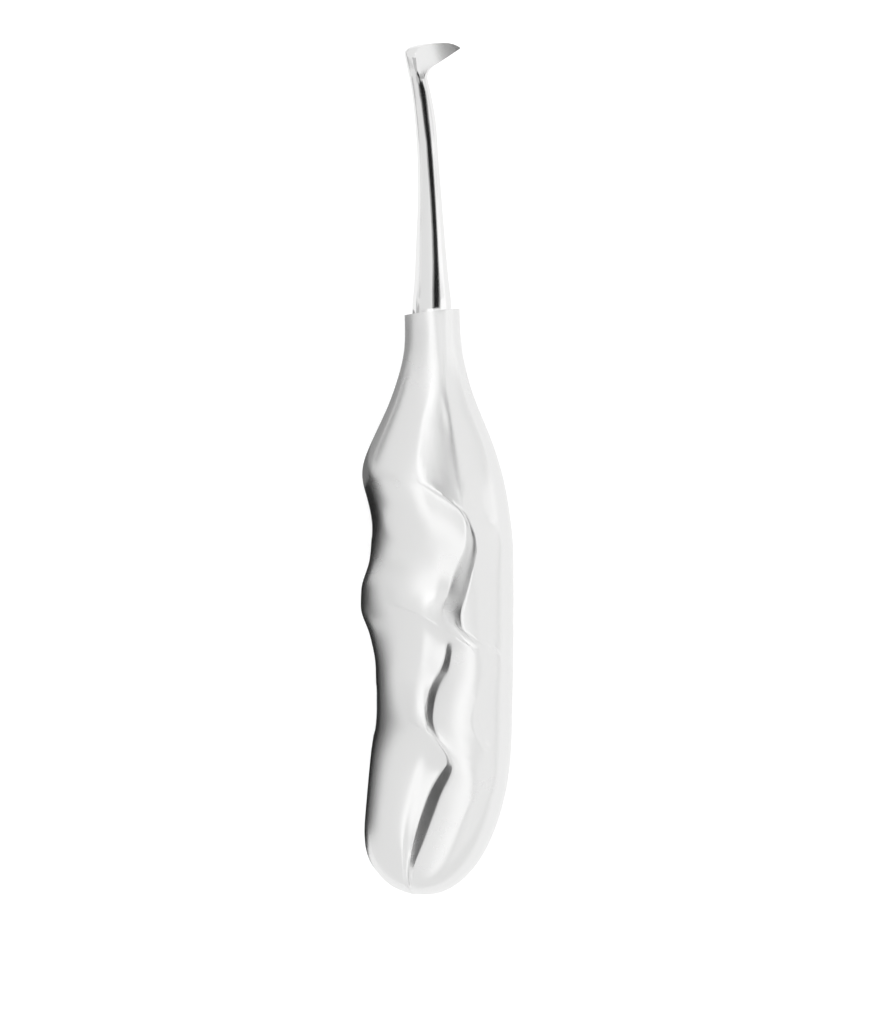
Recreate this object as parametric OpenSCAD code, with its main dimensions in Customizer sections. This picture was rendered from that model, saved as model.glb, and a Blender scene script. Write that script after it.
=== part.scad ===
// Dental elevator: a stainless steel extraction instrument with a hollow handle shaped to the hand.
// It lies on its back: +Y runs from the butt to the working tip, +X to the right, +Z up.

/* [Handle] */
// Radius of the neck where the shank goes in
neck_r = 5.4; // [4.8:0.1:6.2]
// Mouth of the neck to the first finger ridge
neck_l = 30.5; // [27:0.5:36]
// Room for the middle finger, ridge to ridge
middle_l = 25.5; // [21:0.5:31]
// Room for the ring finger, ridge to ridge
ring_l = 21.8; // [18:0.2:26]
// Last ridge to the butt, with room for the little finger
little_l = 35; // [30:0.5:42]
// Reach of the finger side from the neck's axis, at the ridges
finger_reach = 13.8; // [12.5:0.1:16]
// Reach of the palm side from the neck's axis
palm_reach = 15.8; // [14:0.1:18]
// Height of the front above the parting plane
front_h = 9.6; // [8:0.1:11.5]
// Depth of the back below the parting plane
back_h = 9.4; // [8:0.1:11.5]
// Depth of the flat on which the thumb rests
rest_dip = 0.3; // [0.1:0.05:0.6]
// Depth of the middle fingertip's pocket
middle_dip = 2.8; // [1.6:0.1:3.3]
// Depth of the ring fingertip's pocket
ring_dip = 1.9; // [1:0.1:2.4]
// Depth of the little fingertip's pocket
little_dip = 2.4; // [1.4:0.1:3]
// How far the ridges run down towards the butt as they cross the front
ridge_run = 12; // [6:0.5:14]
// Thickness of the hollow handle's wall
wall = 1.5; // [1.2:0.1:1.9]

/* [Shank and blade] */
// Radius of the shank where it leaves the neck
shank_base_r = 3.95; // [3.4:0.05:4.2]
// Radius of the shank's slim part
shank_r = 2.1; // [1.8:0.05:2.6]
// Mouth of the neck to the bend
shank_l = 45.2; // [38:0.2:54]
// Sideways set of the bend's inner side, towards the finger side
shank_set = 0.83; // [0:0.05:2]
// Reach of the blade's point beyond the bend's inner side
blade_l = 6.45; // [5:0.1:8]
// Height of the blade's top above the start of the bend
blade_h = 6.8; // [5.8:0.1:7.8]
// Length of the tang inside the neck
tang_l = 14; // [10:0.5:17]
// Play between the tang and the bore of the neck
bore_play = 0.02; // [0:0.01:0.1]

/* [Hidden] */

ridge_1 = neck_l;
ridge_2 = ridge_1 + middle_l;
ridge_3 = ridge_2 + ring_l;
handle_l = ridge_3 + little_l;

mouth_slant = 7;
butt_x = -1.9;
butt_left_r = 11.2;
butt_left_l = 11.6;
butt_right_r = 17.5;
butt_right_l = 34;
butt_right_power = 2.15;
butt_front_l = 26;
butt_back_l = 30;
butt_power = 2.2;
front_swell_at = 10;
front_swell_l = 28;
back_swell_at = 2;
back_swell_l = 40;
back_set = 1.5;
back_set_l = 30;
back_return_at = 70;

function unit(t) = min(max(t, 0), 1);
function ease(t) = let (c = unit(t)) c * c * (3 - 2 * c);
function mix(a, b, t) = a + (b - a) * t;
function cap(t, n) = let (c = unit(t)) pow(1 - pow(c, n), 1 / n);

// smooth line through hand-set marks [place, value], without overshoot
function rise(k, i) = (k[i + 1][1] - k[i][1]) / (k[i + 1][0] - k[i][0]);
function lean(k, i) = i == 0 ? rise(k, 0)
    : i == len(k) - 1 ? rise(k, i - 1)
    : let (d = rise(k, i - 1), e = rise(k, i)) d * e <= 0 ? 0 : 2 * d * e / (d + e);
function line(k, s, i = 0) = s <= k[0][0] ? k[0][1]
    : i >= len(k) - 1 ? k[i][1]
    : s > k[i + 1][0] ? line(k, s, i + 1)
    : let (w = k[i + 1][0] - k[i][0], t = (s - k[i][0]) / w, u = 1 - t)
        k[i][1] * u * u * (1 + 2 * t) + k[i + 1][1] * t * t * (3 - 2 * t)
        + lean(k, i) * w * t * u * u - lean(k, i + 1) * w * t * t * u;

// outline of the body, seen from the front
finger_side = [
    [0, neck_r], [6, neck_r - 0.05], [ridge_1 * 0.5, neck_r + 2.1], [ridge_1 - 4, finger_reach - 1.3],
    [ridge_1 - 0.8, finger_reach - 0.1], [ridge_1 + 1.5, finger_reach - 0.1],
    [ridge_1 + 6.5, finger_reach - 1.3], [ridge_1 + 11.5, finger_reach - 2.1],
    [ridge_2 - 8.5, finger_reach - 1.8], [ridge_2 - 2.5, finger_reach - 0.1], [ridge_2 + 1, finger_reach],
    [ridge_2 + 6.5, finger_reach - 1.8], [ridge_2 + 13, finger_reach - 2.9],
    [ridge_3 - 1, finger_reach - 2.9], [ridge_3 + 8, finger_reach - 1.9],
    [handle_l - butt_left_l - 2, butt_left_r - butt_x]
];
palm_side = [
    [0, neck_r], [5, neck_r + 0.15], [ridge_1 * 0.5, neck_r + 2.3], [ridge_1 - 6, palm_reach - 4.2],
    [ridge_1 + 4, palm_reach - 1.3], [ridge_1 + 16, palm_reach], [ridge_2 + 4, palm_reach + 0.1],
    [handle_l - butt_right_l, butt_x + butt_right_r]
];
function left_reach(s) = s < handle_l - butt_left_l ? line(finger_side, s)
    : -butt_x + butt_left_r * cap((s - handle_l + butt_left_l) / butt_left_l, 2);
function right_reach(s) = s < handle_l - butt_right_l ? line(palm_side, s)
    : butt_x + butt_right_r * cap((s - handle_l + butt_right_l) / butt_right_l, butt_right_power);
function front_reach(s) = mix(neck_r, front_h, ease((s - front_swell_at) / front_swell_l))
    * cap((s - handle_l + butt_front_l) / butt_front_l, butt_power);
function back_reach(s) = mix(neck_r, back_h, ease((s - back_swell_at) / back_swell_l))
    * cap((s - handle_l + butt_back_l) / butt_back_l, butt_power);
// the crests of the front and of the back wander from side to side
front_apex_marks = [
    [0, 0], [12, 1], [ridge_1 - 6.5, 2.2], [ridge_1 + 4.5, 3], [ridge_1 + 11, 6.5], [ridge_1 + 15.5, 7.6],
    [ridge_2 + 2, 7.4], [ridge_2 + 13, 8.6], [ridge_3 - 1, 6.2], [ridge_3 + 3, 6.2], [ridge_3 + 8, 8.5],
    [ridge_3 + 12, 8.4], [ridge_3 + 18, 6.6], [handle_l - 9.4, 3.6], [handle_l - 4.6, 1], [handle_l, butt_x]
];
function front_apex(s) = line(front_apex_marks, s);
function back_apex(s) = mix(0, back_set, ease(s / back_set_l))
    + mix(0, butt_x - back_set, ease((s - back_return_at) / (handle_l - back_return_at)));

// place within the pocket between two ridges, 0 to 1
butt_land = 2;
function pocket_t(s) = s < ridge_1 ? s / ridge_1
    : s < ridge_2 ? (s - ridge_1) / middle_l
    : s < ridge_3 ? (s - ridge_2) / ring_l
    : unit((s - ridge_3) / (little_l - butt_land));
function pocket_dip(s) = s < ridge_1 ? rest_dip
    : s < ridge_2 ? middle_dip
    : s < ridge_3 ? ring_dip
    : little_dip;
// share of that depth at the foot of the palm wall, and at the finger edge
function scoop(s) = let (t = pocket_t(s))
    s < ridge_1 ? line([[0.45, 0], [0.6, 0.7], [0.75, 1], [0.92, 0.9], [1, 0]], t)
    : s < ridge_2 ? line([[0, 0], [0.022, 0.24], [0.06, 0.34], [0.25, 0.54], [0.4, 0.69], [0.55, 0.87],
        [0.7, 1], [0.8, 0.94], [0.9, 0.62], [1, 0]], t)
    : s < ridge_3 ? line([[0, 0], [0.08, 0.5], [0.2, 0.85], [0.4, 0.9], [0.6, 1], [0.85, 0.85],
        [1, 0.25]], t)
    : line([[0, 0.25 * ring_dip / little_dip], [0.08, 0.35], [0.2, 0.89], [0.35, 0.95], [0.5, 1],
        [0.71, 0.84], [0.89, 0.35], [1, 0]], t);
function edge_scoop(s) = let (t = pocket_t(s))
    s < ridge_1 ? 0
    : s < ridge_2 ? line([[0, 0], [0.2, 0.1], [0.45, 0.4], [0.62, 0.5], [0.78, 0.46], [0.9, 0.27],
        [1, 0]], t)
    : s < ridge_3 ? line([[0, 0], [0.15, 0.1], [0.4, 0.42], [0.6, 0.52], [0.8, 0.42], [1, 0.1]], t)
    : line([[0, 0.1 * ring_dip / little_dip], [0.1, 0.2], [0.3, 0.5], [0.5, 0.55], [0.8, 0.32], [1, 0]], t);
// how much of the rest of the depth is reached at the floor edge
function floor_share(s) = s < ridge_1 ? 0.35 : s < ridge_2 ? 0.4 : s < ridge_3 ? 0.5 : 0.5;
// share of the depth left at the top of the steep foot
function foot_top(s) = s < ridge_1 ? 0.6
    : s < ridge_2 ? line([[0, 0.6], [0.4, 0.6], [0.65, 0.45], [1, 0.45]], pocket_t(s))
    : s < ridge_3 ? 0.25
    : 0.12;

// five lines down the front, as X: finger edge, floor edge, foot and top of the steep wall, palm edge
function edge_x(s) = let (t = pocket_t(s))
    s < ridge_1 ? line([[0, -0.4], [0.5, -0.8], [0.61, -2.1], [0.7, -2.7], [0.82, -3.2], [0.94, -3.9],
        [1, -3.8]], t)
    : s < ridge_2 ? line([[0, -3.8], [0.2, -1.8], [0.44, -0.9], [0.59, -2.3], [0.75, -2.9], [1, -2.9]], t)
    : s < ridge_3 ? line([[0, -2.9], [0.14, -2.3], [0.41, -2.7], [0.6, -3.5], [0.8, -3.7], [1, -3.3]], t)
    : line([[0, -3.3], [0.11, -2.9], [0.28, -3.9], [0.48, -5.2], [0.66, -6], [0.79, -5.8], [1, -5]], t);
function floor_x(s) = let (t = pocket_t(s))
    s < ridge_1 ? line([[0, 0.6], [0.5, 0], [0.63, -1.4], [0.75, -1.8], [0.86, -2], [0.96, -2.3],
        [1, -1.4]], t)
    : s < ridge_2 ? line([[0, -1.4], [0.1, 0.6], [0.39, 1.4], [0.67, 1], [1, 0.4]], t)
    : s < ridge_3 ? line([[0, 0.4], [0.2, -0.2], [0.37, -0.9], [0.55, -1.4], [0.8, -2], [1, -1]], t)
    : line([[0, -1], [0.11, -0.8], [0.28, -2.2], [0.48, -3.6], [0.66, -4.8], [0.85, -5.1], [1, -4.8]], t);
function foot_x(s) = let (t = pocket_t(s))
    s < ridge_1 ? line([[0, 1.4], [0.5, 1.6], [0.7, 3.2], [0.9, 3.6], [1, 4.6]], t)
    : s < ridge_2 ? line([[0, 4.6], [0.08, 6.6], [0.25, 6.6], [0.4, 5.4], [0.55, 4.1], [0.7, 3.1],
        [0.85, 2.2], [1, 2.8]], t)
    : s < ridge_3 ? line([[0, 2.8], [0.12, 2.8], [0.33, 2], [0.52, 0.2], [0.68, -0.9], [0.87, -1.3],
        [1, 0]], t)
    : line([[0, 0], [0.06, 2.4], [0.1, 2.9], [0.21, 1.5], [0.36, -0.4], [0.52, -1.9], [0.72, -3.6],
        [0.89, -4.4], [1, -4.6]], t);
middle_foot_share = 0.6;
function foot_end_x(s) = let (t = pocket_t(s))
    s < ridge_1 ? line([[0, 2], [0.5, 2.4], [0.7, 4.2], [0.9, 4.6], [1, 5.6]], t)
    : s < ridge_2 ? mix(foot_x(s), palm_x(s), middle_foot_share)
    : s < ridge_3 ? line([[0, 6.9], [0.06, 4.8], [0.12, 4], [0.33, 3.3], [0.52, 1.6], [0.68, 0.6],
        [0.87, 0.2], [1, 1.4]], t)
    : line([[0, 1.4], [0.06, 3.6], [0.1, 4.1], [0.17, 3.7], [0.33, 2], [0.49, 0.6], [0.71, -1.5],
        [0.89, -3.5], [1, -4]], t);
function palm_x(s) = let (t = pocket_t(s))
    s < ridge_1 ? line([[0, 2.8], [0.5, 3.4], [0.67, 6], [0.8, 6.4], [0.92, 6.2], [1, 6.4]], t)
    : s < ridge_2 ? line([[0, 6.4], [0.06, 7.7], [0.17, 8.7], [0.24, 8.7], [0.36, 8.1], [0.51, 7.3],
        [0.66, 6.4], [0.81, 5.5], [0.9, 5.9], [0.97, 9], [1, 9.6]], t)
    : s < ridge_3 ? line([[0, 9.6], [0.16, 9.4], [0.35, 8.8], [0.55, 8], [0.85, 7.8], [1, 8.3]], t)
    : line([[0, 8.3], [0.08, 8.8], [0.2, 8.2], [0.39, 6.4], [0.73, 3.5], [0.91, 1], [1, -1.6]], t);

// section of the body: angle 0 is the palm side, 90 the front, 180 the finger side, 270 the back
function is_front(a) = a >= 0 && a <= 180;
// power of the section's curve: 2 is an ellipse, more is squarer
finger_power = [[0, 2], [20, 2.3], [ridge_1 + 4, 2.3], [ridge_1 + 14, 1.5]];
palm_power = [[0, 2], [25, 2.15]];
back_power = [[0, 2], [25, 2.3]];
function power(s, a) = line(!is_front(a) ? back_power : a > 90 ? finger_power : palm_power, s);
function body_xz(s, a) = let (
    n = power(s, a),
    mid = is_front(a) ? front_apex(s) : back_apex(s),
    side = cos(a) > 0 ? right_reach(s) - mid : left_reach(s) + mid,
    high = is_front(a) ? front_reach(s) : back_reach(s),
    x = mid + sign(cos(a)) * side * pow(abs(cos(a)), 2 / n),
    z = sign(sin(a)) * high * pow(abs(sin(a)), 2 / n)
) [x, z];

// angle of the front at which the body stands at a given X
function front_angle(s, x) = let (
    mid = front_apex(s),
    right = x > mid,
    side = right ? right_reach(s) - mid : left_reach(s) + mid,
    n = power(s, right ? 45 : 135),
    c = pow(unit(abs(x - mid) / side), n / 2)
) right ? acos(c) : 180 - acos(c);

// the ridges run down towards the butt as they cross to the palm side
run_at = 6;
run_share = [[-1, 0], [-0.5, 0.06], [-0.2, 0.17], [0.1, 0.39], [0.5, 0.74], [0.8, 0.92], [1, 1]];
function run_fade(s) = ease((s - run_at) / (ridge_1 - run_at))
    * (1 - ease((s - ridge_3) / (handle_l - ridge_3)));
function run_down(x, s) = ridge_run * run_fade(s) * line(run_share, x / palm_reach);
// keeps a line down the front inside the outline where the butt closes in
tuck_limit = 0.85;
tuck_power = 6;
function tuck(u) = u / pow(1 + pow(u / tuck_limit, tuck_power), 1 / tuck_power);
function hold(s, x) = let (mid = front_apex(s), left = left_reach(s) + mid, right = right_reach(s) - mid)
    x > mid ? mid + right * tuck((x - mid) / right) : mid - left * tuck((mid - x) / left);
slant_l = 8;
function slant(x, s) = tan(mouth_slant) * x * (1 - ease(s / slant_l));
function on_body(s, a, depth) = let (
    at = s + run_down(body_xz(s, a)[0], s),
    p = body_xz(at, a)
) [p[0], -at + slant(p[0], s), p[1] - depth];
function at_x(s, x0, depth) = let (
    at = s + run_down(x0, s),
    x = hold(at, x0),
    p = body_xz(at, front_angle(at, x))
) [x, -at + slant(x, s), p[1] - depth];

// the skin's columns, from the finger side to the back
facet_power = 3;
FACET_N = 6;
STRIP_N = 3;
FLOOR_N = 4;
FOOT_N = 2;
WALL_N = 4;
PALM_N = 9;
BACK_N = 18;
COLUMNS = FACET_N + STRIP_N + FLOOR_N + FOOT_N + WALL_N + PALM_N + BACK_N;

// column j on ring s, from the finger side over the front and round the back
function skin_point(s, j) = let (
    dip = pocket_dip(s) * scoop(s),
    edge_dip = pocket_dip(s) * edge_scoop(s),
    floor_dip = mix(edge_dip, dip, floor_share(s)),
    end_dip = foot_top(s) * dip,
    xe = edge_x(s),
    xf = floor_x(s),
    xv = foot_x(s),
    xt = foot_end_x(s),
    xp = palm_x(s),
    j1 = j - FACET_N,
    j2 = j1 - STRIP_N,
    j3 = j2 - FLOOR_N,
    j4 = j3 - FOOT_N,
    j5 = j4 - WALL_N,
    j6 = j5 - PALM_N
)
    j1 < 0 ? let (f = j / FACET_N)
        on_body(s, mix(180, front_angle(s, hold(s, xe)), f), edge_dip * pow(f, facet_power))
    : j2 <= 0 ? let (f = j1 / STRIP_N) at_x(s, mix(xe, xf, f), mix(edge_dip, floor_dip, f))
    : j3 <= 0 ? let (f = j2 / FLOOR_N) at_x(s, mix(xf, xv, f), mix(floor_dip, dip, f))
    : j4 <= 0 ? let (f = j3 / FOOT_N) at_x(s, mix(xv, xt, f), mix(dip, end_dip, f))
    : j5 <= 0 ? let (f = j4 / WALL_N) at_x(s, mix(xt, xp, f), mix(end_dip, 0, f))
    : j6 <= 0 ? on_body(s, mix(front_angle(s, hold(s, xp)), 0, j5 / PALM_N), 0)
    : on_body(s, -180 * j6 / BACK_N, 0);

RINGS = concat(
    [for (i = [0 : 13]) neck_l * pow(i / 14, 0.9)],
    [for (t = [0, 0.022, 0.05, 0.09, 0.14, 0.2, 0.27, 0.34, 0.41, 0.48, 0.55, 0.62, 0.69, 0.75, 0.81,
        0.86, 0.9, 0.94, 0.975]) ridge_1 + middle_l * t],
    [for (t = [0, 0.03, 0.07, 0.12, 0.18, 0.25, 0.32, 0.39, 0.46, 0.53, 0.6, 0.67, 0.74, 0.81, 0.87,
        0.93, 0.97]) ridge_2 + ring_l * t],
    [for (t = [0, 0.02, 0.045, 0.075, 0.11, 0.15, 0.2, 0.25, 0.3, 0.36, 0.42, 0.48, 0.54, 0.6, 0.66,
        0.72, 0.775, 0.825, 0.87, 0.905, 0.935, 0.96, 0.98, 0.993]) ridge_3 + little_l * t]
);
SKIN = [for (s = RINGS) [for (j = [0 : COLUMNS - 1]) skin_point(s, j)]];

// the hollow follows the skin, one wall thickness in, on the lines that shape it
hollow_gap = 3;
hollow_start = tang_l + hollow_gap;
hollow_end = handle_l - 2 * wall;
hollow_nose = 1;
core_share = 0.2;
// the bore for the tang runs on into the hollow
bore_into_hollow = 6;
mouth_over = 1;
bore_l = mouth_over + hollow_start + bore_into_hollow;
BORE_N = 48;
// these columns and rings of the skin shape the hollow
HOLLOW_COLUMNS = [0, 3, 6, 9, 13, 22, 25, 28, 31, 34, 37, 40, 43];
HOLLOW_RINGS = concat(
    [hollow_start, mix(hollow_start, ridge_1, 0.5), ridge_1 - 2],
    [for (t = [0.03, 0.12, 0.3, 0.5, 0.78]) ridge_1 + middle_l * t],
    [for (t = [0, 0.08, 0.2, 0.4, 0.7]) ridge_2 + ring_l * t],
    [for (t = [0, 0.05, 0.15, 0.3, 0.5, 0.7, 0.85]) mix(ridge_3, hollow_end, t)],
    [hollow_end]
);
function hollow_point(s, j) = let (
    p = skin_point(s, j),
    c = [(right_reach(s) - left_reach(s)) / 2, p[1], 0],
    r = norm(p - c)
) c + (p - c) * max(1 - wall / r, core_share);

// shank: centre and radius at a height above the mouth of the neck
corner_x = -shank_set;
corner_y = shank_l;
bend_half = shank_r - 0.3;
shank_shift = [
    [0, 0], [shank_l * 0.14, -0.08], [shank_l * 0.27, -0.25], [shank_l * 0.48, -0.42],
    [shank_l * 0.65, -0.77], [shank_l * 0.78, -1.12],
    [shank_l * 0.91, mix(-1.12, corner_x - bend_half, 0.48)], [shank_l, corner_x - bend_half]
];
shank_taper = [
    [-tang_l, shank_base_r], [0, shank_base_r], [2.3, shank_base_r - 0.18],
        [6.2, mix(shank_r, shank_base_r, 0.68)],
    [12, mix(shank_r, shank_base_r, 0.48)], [15.8, mix(shank_r, shank_base_r, 0.35)],
    [21.6, mix(shank_r, shank_base_r, 0.16)], [30, shank_r], [shank_l * 0.8, shank_r],
    [shank_l * 0.91, shank_r - 0.17], [shank_l, bend_half]
];
SIDES = 32;
// a ring from its inner point p to its outer point q, half as thick as h at its middle
function ring(p, q, h, n = 2) = [for (i = [0 : SIDES - 1]) let (
    a = 360 * i / SIDES,
    c = (p + q) / 2,
    d = (q - p) / 2,
    u = sign(cos(a)) * pow(abs(cos(a)), 2 / n)
) [c[0] + d[0] * u, c[1] + d[1] * u, -h * sign(sin(a)) * pow(abs(sin(a)), 2 / n)]];
function shank_ring(u) = let (x = line(shank_shift, u), r = line(shank_taper, u))
    ring([x + r, u], [x - r, u], r);
// bend: rings fan out from the middle of its inner curve, as far as the outer side
bend_r = 2.7;
bend_turn = 57;
bend_c = [corner_x + bend_r, corner_y];
bend_reach = [
    [0, bend_r + 2 * bend_half], [0.26, blade_h * 1.02], [0.53, blade_h * 1.22], [0.61, blade_h * 1.305],
    [0.7, blade_h * 1.3], [0.88, blade_h * 1.205], [1, blade_h * 1.145]
];
bend_h = shank_r - 0.15;
bend_swell = 3;
blade_power = 2.4;
function bend_way(f) = let (a = 180 - bend_turn * f) [cos(a), sin(a)];
function bend_ring(f) = ring(
    bend_c + bend_way(f) * bend_r, bend_c + bend_way(f) * line(bend_reach, f),
    mix(bend_half, bend_h, ease(f * bend_swell)), mix(2, blade_power, f)
);
// blade: its lower edge is straight, its top runs level and then drops to the point
blade_thinning = 0.7;
blade_point = [corner_x + blade_l, corner_y + blade_h - 1, 0];
blade_from = bend_c + bend_way(1) * bend_r;
blade_top_from = bend_c + bend_way(1) * line(bend_reach, 1);
blade_top = [
    [blade_top_from[0], blade_top_from[1]], [blade_top_from[0] + 2.3, corner_y + blade_h - 0.05],
    [blade_point[0] - 2.9, corner_y + blade_h], [blade_point[0] - 1.2, corner_y + blade_h - 0.35],
    [blade_point[0], blade_point[1]]
];
function blade_ring(v) = let (x = mix(blade_top_from[0], blade_point[0], v)) ring(
    mix(blade_from, [blade_point[0], blade_point[1]], v), [x, line(blade_top, x)],
    bend_h * pow(1 - v, blade_thinning), blade_power
);
SHANK = concat(
    [for (u = [-tang_l, 1, 2.5, 4.5, 7, 10, 13, 16, 19, 22, 26, 30]) shank_ring(u)],
    [for (i = [1 : 6]) shank_ring(mix(30, shank_l, i / 6))],
    [for (f = [0.13, 0.27, 0.4, 0.5, 0.56, 0.61, 0.66, 0.72, 0.8, 0.9, 1]) bend_ring(f)],
    [for (v = [0.1, 0.2, 0.32, 0.45, 0.58, 0.7, 0.8, 0.88, 0.94, 0.98]) blade_ring(v)]
);

// the origin is the middle of the whole instrument, on the ground
x_lo = min([for (r = SKIN) for (p = r) p[0]]);
x_hi = max([for (r = SKIN) for (p = r) p[0]]);
z_lo = min([for (r = SKIN) for (p = r) p[2]]);
y_hi = max([for (r = SHANK) for (p = r) p[1]]);
HOME = [-(x_lo + x_hi) / 2, -(y_hi - handle_l) / 2, -z_lo];

module loft(rings, tip) {
    n = len(rings);
    m = len(rings[0]);
    points = concat([for (r = rings) for (p = r) p], [tip]);
    faces = concat(
        [[for (j = [m - 1 : -1 : 0]) j]],
        [for (i = [0 : n - 2]) for (j = [0 : m - 1]) let (k = (j + 1) % m)
            [i * m + j, i * m + k, (i + 1) * m + k, (i + 1) * m + j]],
        [for (j = [0 : m - 1]) [(n - 1) * m + j, (n - 1) * m + (j + 1) % m, n * m]]
    );
    polyhedron(points, faces);
}

module handle() {
    color("gainsboro")
        difference() {
            loft(SKIN, [butt_x, -handle_l, 0]);
            translate([0, mouth_over, 0])
                rotate([90, 0, 0])
                    cylinder(r = shank_base_r + bore_play, h = bore_l, $fn = BORE_N);
            loft([for (s = HOLLOW_RINGS) [for (j = HOLLOW_COLUMNS) hollow_point(s, j)]],
                [butt_x, -hollow_end - hollow_nose, 0]);
        }
}

module shank_and_blade() {
    color("lightsteelblue")
        difference() {
            loft(SHANK, blade_point);
            grinding_wheel();
        }
}

// the wheel grinds the face from its run-out on the bend to the point
wheel_r = 18;
wheel_w = 8;
wheel_off = 0.12;
wheel_roll = 3.5;
run_out = [-2.3, 3.5];
WHEEL_N = 120;
module grinding_wheel() {
    from = [corner_x + run_out[0], corner_y + run_out[1], bend_h];
    to = blade_point + [0, 0, wheel_off];
    way = to - from;
    turn = atan2(way[1], way[0]);
    dip = asin(-way[2] / norm(way));
    translate((from + to) / 2)
        rotate([0, 0, turn])
            rotate([wheel_roll, dip, 0])
                translate([0, 0, sqrt(wheel_r * wheel_r - way * way / 4)])
                    rotate([90, 0, 0])
                        cylinder(r = wheel_r, h = wheel_w, center = true, $fn = WHEEL_N);
}

translate(HOME) handle();
translate(HOME) shank_and_blade();
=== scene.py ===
import math

import bmesh
import bpy
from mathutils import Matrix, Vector


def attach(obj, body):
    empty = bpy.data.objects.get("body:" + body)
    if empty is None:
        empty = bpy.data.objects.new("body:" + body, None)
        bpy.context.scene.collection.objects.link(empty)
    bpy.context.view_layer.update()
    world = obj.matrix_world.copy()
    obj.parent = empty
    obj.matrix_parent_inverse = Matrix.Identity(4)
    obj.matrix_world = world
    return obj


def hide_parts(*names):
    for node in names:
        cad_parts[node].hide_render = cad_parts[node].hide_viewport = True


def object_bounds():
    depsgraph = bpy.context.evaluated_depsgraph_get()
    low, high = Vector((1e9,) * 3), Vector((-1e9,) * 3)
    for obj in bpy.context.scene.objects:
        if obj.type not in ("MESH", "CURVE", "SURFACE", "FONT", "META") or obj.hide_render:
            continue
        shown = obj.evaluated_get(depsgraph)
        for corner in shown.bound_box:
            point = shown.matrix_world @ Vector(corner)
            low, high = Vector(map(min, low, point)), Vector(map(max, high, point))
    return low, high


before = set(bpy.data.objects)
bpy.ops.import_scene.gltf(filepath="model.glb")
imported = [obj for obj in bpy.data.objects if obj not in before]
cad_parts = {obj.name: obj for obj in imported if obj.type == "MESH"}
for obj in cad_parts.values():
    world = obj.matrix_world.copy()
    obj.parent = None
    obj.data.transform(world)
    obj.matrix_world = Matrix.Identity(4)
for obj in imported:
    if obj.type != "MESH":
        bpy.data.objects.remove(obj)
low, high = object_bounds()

# ---------------------------------------------------------------- handle
# The handle is one hollow stainless steel shell, pressed in two halves that are welded and ground
# together, then blasted to a satin finish. Its front is shaped to the fingertips and the thumb.
handle_steel = (0.628, 0.628, 0.626, 1.0)
handle_roughness = 0.25
handle_grain = 9000.0
handle_dents = 0.25
handle_sliver = 0.00006
soft_ridge = math.radians(24)
crisp_edge = math.radians(58)
skin_passes = 2
close_edge = 0.00025
close_passes = 12
thumb_rest_middle = Vector((0.0030, 0.0025, 0.0172))
thumb_rest_reach = 0.0065
thumb_rest_passes = 12


def merged_quads(node_name, sliver):
    """A copy of a solid's skin with its corners merged and its triangles paired into quads."""
    bend_of_pair = math.radians(30)
    skew_of_pair = math.radians(50)
    bm = bmesh.new()
    bm.from_mesh(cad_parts[node_name].data)
    bmesh.ops.remove_doubles(bm, verts=bm.verts, dist=sliver)
    bmesh.ops.dissolve_degenerate(bm, edges=bm.edges, dist=sliver)
    bmesh.ops.join_triangles(
        bm,
        faces=bm.faces,
        angle_face_threshold=bend_of_pair,
        angle_shape_threshold=skew_of_pair,
    )
    return bm


def relax(bm, verts, passes):
    """Evens out the skin at these corners, as grinding does."""
    for _ in range(passes):
        bmesh.ops.smooth_vert(
            bm, verts=verts, factor=0.5, use_axis_x=True, use_axis_y=True, use_axis_z=True
        )


def rounded_piece(piece_name, bm, soft, crisp):
    """A piece with a smooth skin. Edges past the soft angle stay half sharp, past the crisp one sharp."""
    half_sharp = 0.45
    shell_levels = 2
    crease = bm.edges.layers.float.new("crease_edge")
    for edge in bm.edges:
        angle = edge.calc_face_angle(0.0)
        edge[crease] = 1.0 if angle > crisp else half_sharp if angle > soft else 0.0
        edge.smooth = angle < crisp
    for face in bm.faces:
        face.smooth = True
    mesh = bpy.data.meshes.new(piece_name)
    bm.to_mesh(mesh)
    bm.free()
    piece = bpy.data.objects.new(piece_name, mesh)
    bpy.context.scene.collection.objects.link(piece)
    subdivision = piece.modifiers.new("smooth_shell", "SUBSURF")
    subdivision.levels = shell_levels
    subdivision.render_levels = shell_levels
    return piece


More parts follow.
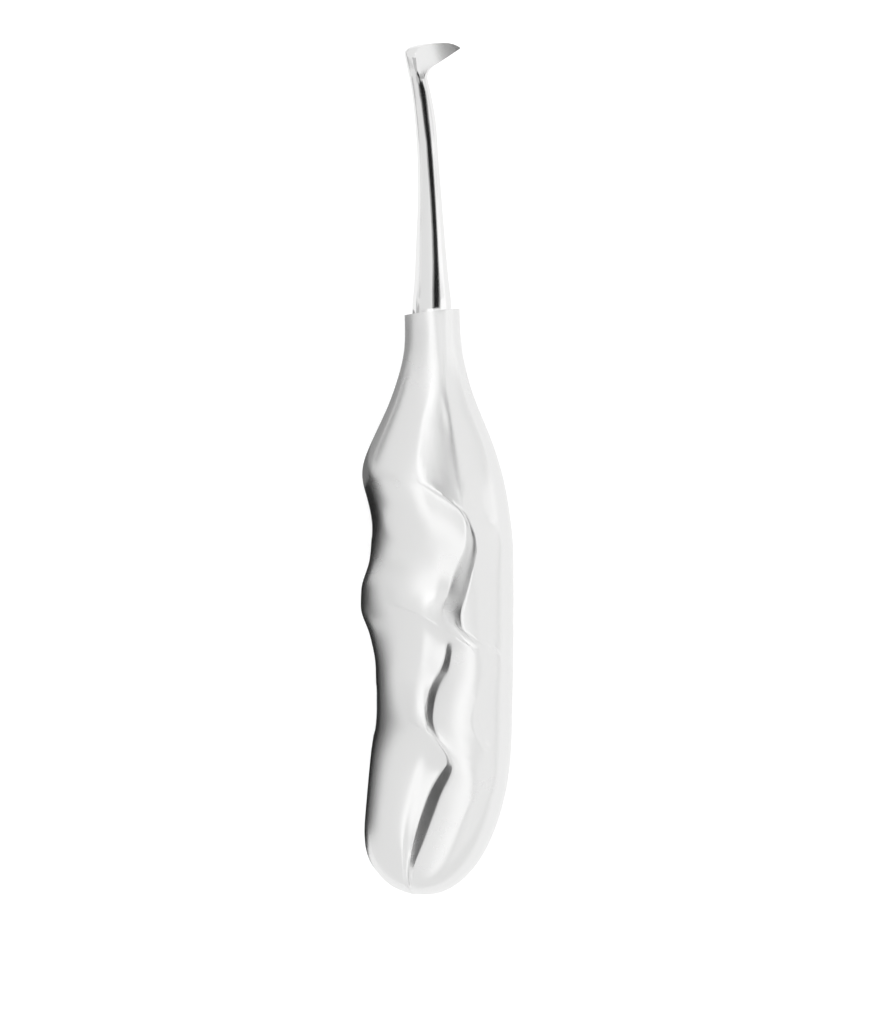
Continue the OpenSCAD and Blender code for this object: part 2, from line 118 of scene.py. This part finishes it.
def steel(name, colour, roughness, grain, dents):
    """Stainless steel whose gloss wanders a little, as hand finishing leaves it."""
    cloud_scale = 90.0
    cloud_detail = 3.0
    cloud_range = (0.3, 0.7)
    gloss_range = (roughness * 0.9, roughness * 1.12)
    dent_detail = 2.0
    dent_depth = 0.00002
    material = bpy.data.materials.new(name)
    material.use_nodes = True
    tree = material.node_tree
    shader = tree.nodes["Principled BSDF"]
    shader.inputs["Metallic"].default_value = 1.0
    shader.inputs["Base Color"].default_value = colour
    place = tree.nodes.new("ShaderNodeTexCoord")

    # broad clouds move the roughness up and down by about a tenth
    cloud = tree.nodes.new("ShaderNodeTexNoise")
    cloud.inputs["Scale"].default_value = cloud_scale
    cloud.inputs["Detail"].default_value = cloud_detail
    tree.links.new(place.outputs["Object"], cloud.inputs["Vector"])
    gloss = tree.nodes.new("ShaderNodeMapRange")
    gloss.inputs["From Min"].default_value = cloud_range[0]
    gloss.inputs["From Max"].default_value = cloud_range[1]
    gloss.inputs["To Min"].default_value = gloss_range[0]
    gloss.inputs["To Max"].default_value = gloss_range[1]
    tree.links.new(cloud.outputs["Fac"], gloss.inputs["Value"])
    tree.links.new(gloss.outputs["Result"], shader.inputs["Roughness"])

    # the blasting or the polishing leaves dents that are too fine to see one by one
    fine = tree.nodes.new("ShaderNodeTexNoise")
    fine.inputs["Scale"].default_value = grain
    fine.inputs["Detail"].default_value = dent_detail
    tree.links.new(place.outputs["Object"], fine.inputs["Vector"])
    bump = tree.nodes.new("ShaderNodeBump")
    bump.inputs["Strength"].default_value = dents
    bump.inputs["Distance"].default_value = dent_depth
    tree.links.new(fine.outputs["Fac"], bump.inputs["Height"])
    tree.links.new(bump.outputs["Normal"], shader.inputs["Normal"])
    return material


# the skin between the ridges is evened out, most where its corners crowd and in the thumb's rest
handle_bm = merged_quads("handle", handle_sliver)
skin = [
    vert for vert in handle_bm.verts
    if max(edge.calc_face_angle(0.0) for edge in vert.link_edges) < soft_ridge
]
relax(handle_bm, skin, skin_passes)
crowded = [vert for vert in skin if min(edge.calc_length() for edge in vert.link_edges) < close_edge]
relax(handle_bm, crowded, close_passes)
thumb_rest = [
    vert for vert in handle_bm.verts if (vert.co - thumb_rest_middle).length < thumb_rest_reach
]
relax(handle_bm, thumb_rest, thumb_rest_passes)

handle = rounded_piece("handle_shell", handle_bm, soft_ridge, crisp_edge)
handle.data.materials.append(
    steel("satin_steel", handle_steel, handle_roughness, handle_grain, handle_dents)
)
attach(handle, "root")
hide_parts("handle")

# ---------------------------------------------------------------- shank and blade
# The shank is forged with its blade and its tang in one piece of stainless steel. It is turned,
# bent square at the end, ground hollow on the blade's face and polished bright.
shank_steel = (0.657, 0.657, 0.655, 1.0)
shank_grain = 16000.0
polished_roughness = 0.09
polished_dents = 0.08
ground_roughness = 0.18
ground_dents = 0.1
shank_sliver = 0.000002
ground_edge = math.radians(16)
blade_root_x = -0.0036
blade_width = 0.0055
blade_foot_y = high.y - blade_width
face_upward = 0.8

shank_bm = merged_quads("shank_and_blade", shank_sliver)
shank = rounded_piece("shank_with_blade", shank_bm, ground_edge, ground_edge)
shank.data.materials.append(
    steel("polished_steel", shank_steel, polished_roughness, shank_grain, polished_dents)
)
shank.data.materials.append(
    steel("ground_steel", shank_steel, ground_roughness, shank_grain, ground_dents)
)

# the hollow ground face keeps a finer satin from the wheel
for face in shank.data.polygons:
    on_blade = face.center.x > blade_root_x and face.center.y > blade_foot_y
    if on_blade and face.normal.z > face_upward:
        face.material_index = 1
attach(shank, "root")
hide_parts("shank_and_blade")

# ---------------------------------------------------------------- floor, light and camera
# The instrument lies on its back on a white table under even light, seen straight from above.
# Dark and bright cards stand round it out of view, for the steel to mirror.
pixel = 0.0001932
picture_width = 896
picture_height = 1024
neck_column = 432
mouth_row = 312
neck_x = -0.00105
shank_length = 0.052
mouth_y = high.y - shank_length
axis_height = 0.0094
camera_height = 1.2
sensor_height = 24.0
sky_strength = 1.17

view_centre = Vector((
    neck_x + (picture_width / 2 - neck_column) * pixel,
    mouth_y - (picture_height / 2 - mouth_row) * pixel,
    axis_height,
))
camera_data = bpy.data.cameras.new("camera")
camera_data.sensor_fit = "VERTICAL"
camera_data.sensor_height = sensor_height
camera_data.lens = sensor_height * camera_height / (picture_height * pixel)
camera = bpy.data.objects.new("camera", camera_data)
camera.location = view_centre + Vector((0, 0, camera_height))
bpy.context.scene.collection.objects.link(camera)
bpy.context.scene.camera = camera
bpy.context.scene.view_settings.view_transform = "Standard"

world = bpy.data.worlds.new("even_light")
world.use_nodes = True
world.node_tree.nodes["Background"].inputs["Color"].default_value = (1.0, 1.0, 1.0, 1.0)
world.node_tree.nodes["Background"].inputs["Strength"].default_value = sky_strength
bpy.context.scene.world = world


def flat_card(name, corners, shade, glow):
    """A card of one shade of grey, or of light, through its corners."""
    mesh = bpy.data.meshes.new(name)
    bm = bmesh.new()
    bm.faces.new([bmesh.ops.create_vert(bm, co=corner)["vert"][0] for corner in corners])
    bm.to_mesh(mesh)
    bm.free()
    card = bpy.data.objects.new(name, mesh)
    bpy.context.scene.collection.objects.link(card)
    material = bpy.data.materials.new(name)
    material.use_nodes = True
    shader = material.node_tree.nodes["Principled BSDF"]
    shader.inputs["Base Color"].default_value = (shade, shade, shade, 1.0)
    shader.inputs["Roughness"].default_value = 1.0
    shader.inputs["Specular IOR Level"].default_value = 0.0
    shader.inputs["Emission Color"].default_value = (1.0, 1.0, 1.0, 1.0)
    shader.inputs["Emission Strength"].default_value = glow
    mesh.materials.append(material)
    return card


def mirrored_card(name, corners, shade, glow):
    """A card that is seen in the steel alone: it casts no shadow and isn't seen itself."""
    card = flat_card(name, corners, shade, glow)
    card.visible_camera = False
    card.visible_diffuse = False
    card.visible_shadow = False
    card.visible_transmission = False


def level(outline, height):
    """The corners of a card that lies level, with y counted from the neck's mouth."""
    return [(x, mouth_y + y, height) for x, y in outline]


def level_card(name, x_from, x_to, y_from, y_to, height, shade, glow=0.0):
    """A mirrored oblong card that lies level, with y counted from the neck's mouth."""
    outline = [(x_from, y_from), (x_to, y_from), (x_to, y_to), (x_from, y_to)]
    mirrored_card(name, level(outline, height), shade, glow)


def standing_card(name, x, y_from, y_to, z_from, z_to, shade, glow=0.0):
    """A mirrored card that stands along the instrument, with y counted from the neck's mouth."""
    feet = level([(x, y_from), (x, y_to)], z_from)
    heads = level([(x, y_to), (x, y_from)], z_to)
    mirrored_card(name, feet + heads, shade, glow)


floor_half = 3.0
floor_shade = 0.85
floor_glow = 0.35
floor_outline = [
    (-floor_half, -floor_half), (floor_half, -floor_half),
    (floor_half, floor_half), (-floor_half, floor_half),
]
flat_card("floor", level(floor_outline, 0.0), floor_shade, floor_glow)

# dark cards lie on the table on the finger side, from the butt up to the shank. They are painted shade:
# they stand for the handle's shadow on the table, and only the steel shows them
near_x = -0.016
neck_near_x = -0.010
far_x = -0.048
wall_x = -0.15
neck_wall_x = -0.3
butt_gap = 0.002
butt = low.y - mouth_y + butt_gap
second_pocket = -0.064
first_pocket = -0.035
shoulder = -0.024
wall_end = -0.022
neck_end = 0.001
collar_end = 0.012
shank_start = 0.033
shank_end = 0.22
on_table = 0.001
level_card("near_flag", far_x, near_x, butt, first_pocket, on_table, 0.02)
level_card("far_flag", wall_x, far_x, butt, second_pocket, on_table, 0.12)
level_card("ring_flag", wall_x, far_x, second_pocket, wall_end, on_table, 0.06)
level_card("shoulder_flag", far_x, neck_near_x, first_pocket, shoulder, on_table, 0.22)
level_card("neck_flag", far_x, neck_near_x, shoulder, neck_end, on_table, 0.42)
level_card("collar_flag", neck_wall_x, far_x, wall_end, collar_end, on_table, 0.5)
level_card("neck_table", neck_wall_x, far_x, shank_start, shank_end, on_table, 0.5)

# others stand behind them, paler with their height
low_edge = 0.03
middle_edge = 0.045
high_edge = 0.065
top_edge = 0.085
middle_wall_end = wall_end - 0.008
standing_card("low_wall", wall_x, butt, second_pocket, on_table, low_edge, 0.2)
standing_card("ring_wall", wall_x, second_pocket, wall_end, on_table, low_edge, 0.08)
standing_card("middle_wall", wall_x, butt, middle_wall_end, low_edge, middle_edge, 0.38)
standing_card("high_wall", wall_x, butt, wall_end, middle_edge, high_edge, 0.5)
standing_card("top_wall", wall_x, butt, wall_end, high_edge, top_edge, 0.75)

# paler ones stand farther off, for the neck, and a bright one for the palm side of the shank
collar_from = -0.004
collar_to = 0.03
collar_edge = 0.05
collar_top = 0.45
beyond_from = 0.06
beyond_edge = 0.075
beyond_top = 0.13
palm_wall_x = 0.3
standing_card("collar_wall", neck_wall_x, collar_from, collar_to, on_table, collar_edge, 0.5)
standing_card("collar_high_wall", neck_wall_x, collar_from, collar_to, collar_edge, collar_top, 0.75)
standing_card("neck_wall", neck_wall_x, beyond_from, shank_end, on_table, beyond_edge, 0.45)
standing_card("neck_high_wall", neck_wall_x, beyond_from, shank_end, beyond_edge, beyond_top, 0.75)
standing_card("side_wall", palm_wall_x, 0.01, 0.07, 0.002, 0.22, 0.0, glow=1.5)

# the shank's dark line mirrors cards close over it, darkest along its middle, one below the other
line_height = 0.02
line_gap = 0.0002
left_share = 0.65
right_share = 1.35
line_left = [
    (0.0, 0.0011), (0.0001, 0.0055), (0.0014, 0.011), (0.0015, 0.0168),
    (0.0, 0.0227), (-0.0008, 0.025), (-0.0025, 0.030), (-0.003, 0.033),
    (-0.0045, 0.035), (-0.0055, 0.037), (-0.006, 0.040), (-0.0058, 0.041),
    (-0.0065, 0.042), (-0.0068, 0.043), (-0.0065, 0.0445), (-0.003, 0.0452),
]
line_right = [
    (0.0075, 0.0015), (0.0092, 0.0058), (0.011, 0.0115), (0.0121, 0.0175),
    (0.0112, 0.0235), (0.011, 0.027), (0.010, 0.031), (0.008, 0.033),
    (0.0065, 0.0365), (0.0055, 0.039), (0.006, 0.041), (0.008, 0.0435),
    (0.009, 0.045), (0.0105, 0.0465), (0.006, 0.0478), (0.001, 0.0468),
]
line_sides = [(Vector(left), Vector(right)) for left, right in zip(line_left, line_right)]


def line_card(name, inset, steps_down, shade):
    """A card along the dark line, drawn in from its two sides by the inset, a share of its width."""
    outline = [left.lerp(right, inset * left_share) for left, right in line_sides]
    outline += [right.lerp(left, inset * right_share) for left, right in reversed(line_sides)]
    mirrored_card(name, level(outline, line_height - steps_down * line_gap), shade, 0.0)


line_card("line_rim", -0.15, 0, 0.5)
line_card("line_side", 0.06, 1, 0.15)
line_card("line_core", 0.22, 2, 0.01)

# a bright card lies on the finger side of the line, and a grey one at the bend
pale_x = -0.03
pale_outline = [(pale_x, line_left[0][1]), (pale_x, line_left[-2][1])] + line_left[-2::-1]
mirrored_card("pale_card", level(pale_outline, line_height + line_gap), 0.0, 1.11)
bend_height = line_height - 0.5 * line_gap
level_card("bend_card", -0.0095, -0.003, 0.0445, 0.0505, bend_height, 0.6)

# the blade's face darkens towards its point
face_height = 0.05
face_from = 0.045
face_to = 0.09
level_card("point_card", -0.004, 0.006, face_from, face_to, face_height, 0.12)
level_card("tip_card", 0.006, 0.0125, face_from, face_to, face_height, 0.35)
level_card("face_card", 0.0125, 0.0165, face_from, face_to, face_height, 0.55)
level_card("heel_card", 0.0165, 0.019, face_from, face_to, face_height, 0.78)

# a small bright card fills the foot of the first pocket
level_card("pocket_fill", 0.0, 0.0085, -0.0425, -0.031, face_height, 0.0, glow=1.38)

# high up, a grey card shades the thumb's rest and a bright strip lights what leans to the finger
# side. Smaller ones just below them light the neck's crest, and a pale one the palm side.
lamp_height = 0.4
crest_lamp_height = lamp_height - 0.002
lamp_from = -0.63
strip_outline = [
    (-0.19, lamp_from), (-0.03, lamp_from), (-0.03, 0.1), (-0.006, 0.1), (-0.006, 0.19),
    (-0.03, 0.23), (-0.1, 0.23), (-0.1, 0.1), (-0.19, 0.1),
]
level_card("rest_card", -0.002, 0.1, 0.1, 0.2, lamp_height, 0.25)
mirrored_card("bright_strip", level(strip_outline, lamp_height), 0.0, 1.55)
level_card("collar_light", -0.05, 0.055, -0.01, 0.045, crest_lamp_height, 0.0, glow=1.75)
level_card("crest_light", -0.06, -0.006, 0.045, 0.17, crest_lamp_height, 0.0, glow=2.1)
level_card("palm_light", 0.11, 1.5, lamp_from, 0.3, lamp_height, 0.0, glow=1.28)
